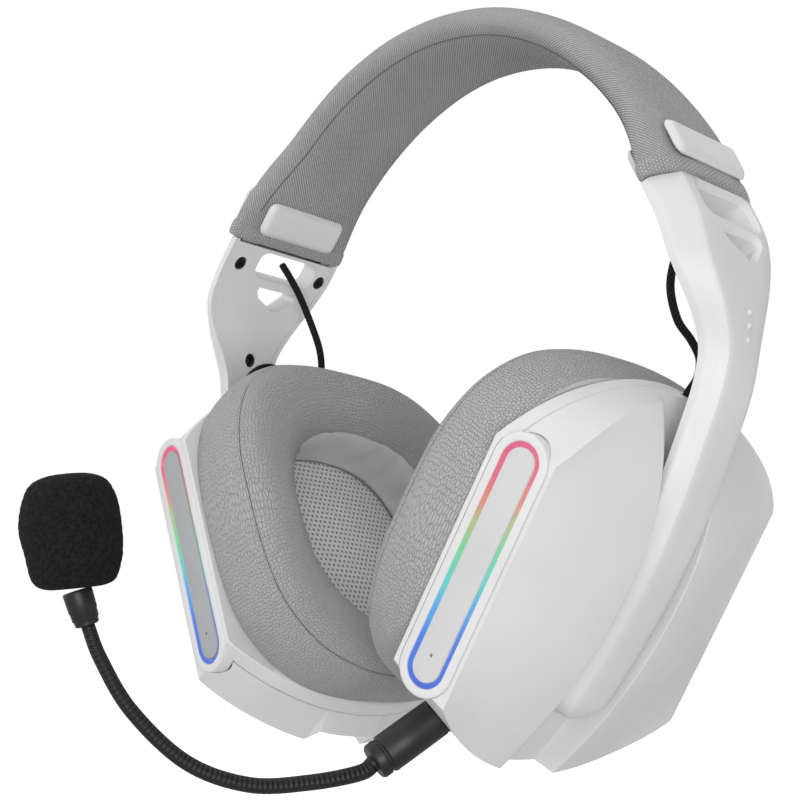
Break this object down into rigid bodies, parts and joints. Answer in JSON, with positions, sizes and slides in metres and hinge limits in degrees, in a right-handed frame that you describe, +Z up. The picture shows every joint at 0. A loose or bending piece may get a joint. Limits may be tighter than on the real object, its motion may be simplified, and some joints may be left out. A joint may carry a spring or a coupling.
{
  "type": "headset",
  "caption": "Over-ear gaming headset with a padded headband, sliding side arms, tilting oval ear cups with a light bar, and a boom microphone.",
  "frame": {"origin": "middle of the headband's underside, where the band rests on the head", "axes": "+Z up, -Y the way the wearer faces, +X towards the wearer's left, where the boom microphone is"},
  "size_m": [0.1814, 0.1762, 0.2103],
  "materials": {
    "battery_wrap": "shrink film",
    "black_foam": "open-cell foam",
    "black_metal": "black oxide",
    "black_plastic": "satin",
    "board": "coated circuit board",
    "cable_braid": "braided",
    "cone": "thin film",
    "gold": "plated",
    "grey_cloth": "woven",
    "grey_plastic": "fine matte",
    "light_guide": "translucent, lit in a colour gradient",
    "steel": "brushed",
    "white_plastic": "fine matte"
  },
  "bodies": {
    "headband": {"headband_sleeve": "grey_cloth", "headband_foam": "black_foam", "headband_spring": "steel", "left_end_frame": "black_plastic", "left_plate_outer": "white_plastic", "left_plate_inner": "white_plastic", "right_end_frame": "black_plastic", "right_plate_outer": "white_plastic", "right_plate_inner": "white_plastic"},
    "left_arm": {"left_arm_shell": "white_plastic", "left_arm_cover": "white_plastic", "left_arm_screw_front": "black_metal", "left_arm_screw_rear": "black_metal", "left_arm_screw_lower": "black_metal", "left_arm_slider": "steel", "left_pivot_pin": "steel", "left_ear_cable": "cable_braid"},
    "left_cup": {"left_cup_shell": "white_plastic", "left_cup_base": "white_plastic", "left_light_bezel": "white_plastic", "left_light_ring": "light_guide", "left_light_insert": "grey_plastic", "left_light_board": "board", "left_driver": "black_plastic", "left_diaphragm": "cone", "left_ear_cushion": "grey_cloth", "left_speaker_cloth": "grey_cloth", "left_pivot_block": "black_plastic", "circuit_board": "board", "charging_port": "steel", "mic_socket": "black_plastic"},
    "right_arm": {"right_arm_shell": "white_plastic", "right_arm_cover": "white_plastic", "right_arm_screw_front": "black_metal", "right_arm_screw_rear": "black_metal", "right_arm_screw_lower": "black_metal", "right_arm_slider": "steel", "right_pivot_pin": "steel", "right_ear_cable": "cable_braid"},
    "right_cup": {"right_cup_shell": "white_plastic", "right_cup_base": "white_plastic", "right_light_bezel": "white_plastic", "right_light_ring": "light_guide", "right_light_insert": "grey_plastic", "right_light_board": "board", "right_driver": "black_plastic", "right_diaphragm": "cone", "right_ear_cushion": "grey_cloth", "right_speaker_cloth": "grey_cloth", "right_pivot_block": "black_plastic", "battery": "battery_wrap"},
    "mic_plug": {"mic_plug": "black_plastic", "mic_jack": "gold", "mic_gooseneck": "black_plastic"},
    "mic_head": {"mic_collar": "black_plastic", "mic_windscreen": "black_foam", "mic_capsule": "steel"},
    "power_button": {"power_button": "white_plastic"},
    "mute_button": {"mute_button": "white_plastic"},
    "volume_wheel": {"volume_wheel": "black_plastic"}
  },
  "joints": [
    {"name": "left_arm_slide", "type": "slide", "parent": "headband", "child": "left_arm", "axis": [0.4691, 0, -0.8832], "range_m": [0, 0.022]},
    {"name": "right_arm_slide", "type": "slide", "parent": "headband", "child": "right_arm", "axis": [-0.4691, 0, -0.8832], "range_m": [0, 0.022]},
    {"name": "left_cup_tilt", "type": "hinge", "parent": "left_arm", "child": "left_cup", "pos_m": [0.04977, -0.00325, -0.16879], "axis": [0, 1, 0], "range_deg": [-10, 4], "deforming": ["left_ear_cable"]},
    {"name": "right_cup_tilt", "type": "hinge", "parent": "right_arm", "child": "right_cup", "pos_m": [-0.04977, -0.00325, -0.16879], "axis": [0, -1, 0], "range_deg": [-10, 4], "deforming": ["right_ear_cable"]},
    {"name": "power_button_press", "type": "slide", "parent": "left_cup", "child": "power_button", "axis": [-0.1481, -0.9864, 0.072], "range_m": [0, 0.0007], "stiffness_N_per_m": 600},
    {"name": "mute_button_press", "type": "slide", "parent": "left_cup", "child": "mute_button", "axis": [-0.1481, -0.9864, 0.072], "range_m": [0, 0.0007], "stiffness_N_per_m": 600},
    {"name": "volume_wheel_turn", "type": "hinge", "parent": "left_cup", "child": "volume_wheel", "pos_m": [0.04711, 0.04235, -0.1497], "axis": [0.8865, -0.1651, -0.4322], "range_deg": [-135, 135]},
    {"name": "mic_pull_out", "type": "slide", "parent": "left_cup", "child": "mic_plug", "axis": [-0.394, -0.674, -0.625], "range_m": [0, 0.018]},
    {"name": "mic_bend", "type": "hinge", "parent": "mic_plug", "child": "mic_head", "pos_m": [0.0058, -0.0795, -0.196], "axis": [0.866, -0.5, 0], "range_deg": [-20, 30], "deforming": ["mic_gooseneck"]}
  ]
}
